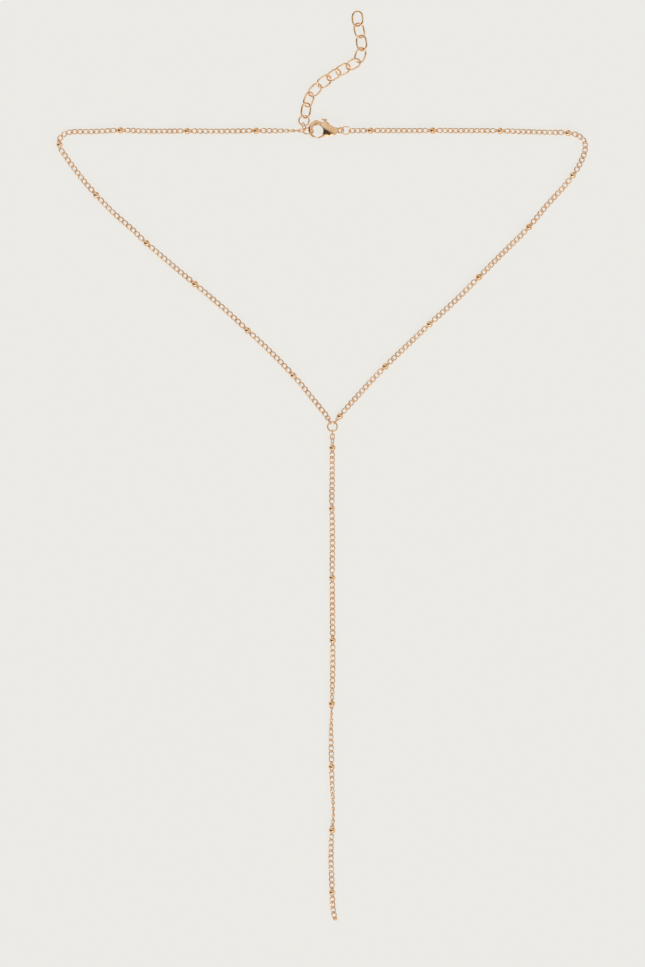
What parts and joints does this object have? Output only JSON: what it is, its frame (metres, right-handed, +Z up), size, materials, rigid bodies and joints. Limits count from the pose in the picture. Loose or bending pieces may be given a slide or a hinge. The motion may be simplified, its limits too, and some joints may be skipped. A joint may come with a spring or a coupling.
{
  "type": "drop necklace",
  "caption": "Fine curb-chain drop necklace with small round beads, a lobster clasp with an extender, and a straight chain drop hanging from a ring at the front.",
  "frame": {"origin": "on the surface the necklace lies on, under the middle of its overall outline", "axes": "+Z up from the surface; +Y from the drop's free end towards the clasp and extender; +X towards the right side of the neck loop as seen from above"},
  "size_m": [0.1771, 0.3031, 0.0032],
  "materials": {
    "rose_gold": "polished rose gold plate"
  },
  "bodies": {
    "necklace": {"neck_chain_left": "rose_gold", "neck_chain_right": "rose_gold", "drop_chain_upper": "rose_gold", "drop_chain_lower": "rose_gold", "drop_end_link": "rose_gold", "junction_ring": "rose_gold", "ring_link_left": "rose_gold", "ring_link_right": "rose_gold", "ring_link_drop": "rose_gold", "left_end_ring": "rose_gold", "drop_top_link_1": "rose_gold", "drop_top_link_2": "rose_gold", "clasp_body": "rose_gold", "clasp_ring": "rose_gold", "left_clasp_link": "rose_gold", "eye_ring": "rose_gold", "extender_end_link": "rose_gold", "extender_ring": "rose_gold", "extender_link_01": "rose_gold", "extender_link_02": "rose_gold", "extender_link_03": "rose_gold", "extender_link_04": "rose_gold", "extender_link_05": "rose_gold", "extender_link_06": "rose_gold", "extender_link_07": "rose_gold", "extender_link_08": "rose_gold", "extender_link_09": "rose_gold", "extender_link_10": "rose_gold", "extender_link_11": "rose_gold", "bead_left_1": "rose_gold", "bead_left_2": "rose_gold", "bead_left_3": "rose_gold", "bead_left_4": "rose_gold", "bead_left_5": "rose_gold", "bead_left_6": "rose_gold", "bead_left_7": "rose_gold", "bead_left_8": "rose_gold", "bead_left_9": "rose_gold", "bead_right_01": "rose_gold", "bead_right_02": "rose_gold", "bead_right_03": "rose_gold", "bead_right_04": "rose_gold", "bead_right_05": "rose_gold", "bead_right_06": "rose_gold", "bead_right_07": "rose_gold", "bead_right_08": "rose_gold", "bead_right_09": "rose_gold", "bead_right_10": "rose_gold", "bead_drop_1": "rose_gold", "bead_drop_2": "rose_gold", "bead_drop_3": "rose_gold", "bead_drop_4": "rose_gold", "bead_drop_5": "rose_gold", "bead_drop_6": "rose_gold", "bead_drop_7": "rose_gold", "bead_drop_8": "rose_gold"},
    "lever": {"clasp_lever": "rose_gold"}
  },
  "joints": [
    {"name": "clasp_lever_hinge", "type": "hinge", "parent": "necklace", "child": "lever", "pos_m": [0.0022, 0.11134, 0.0015], "axis": [0, 0, -1], "range_deg": [0, 20], "stiffness_Nm_per_rad": 0.002, "springref_deg": -5.73}
  ]
}
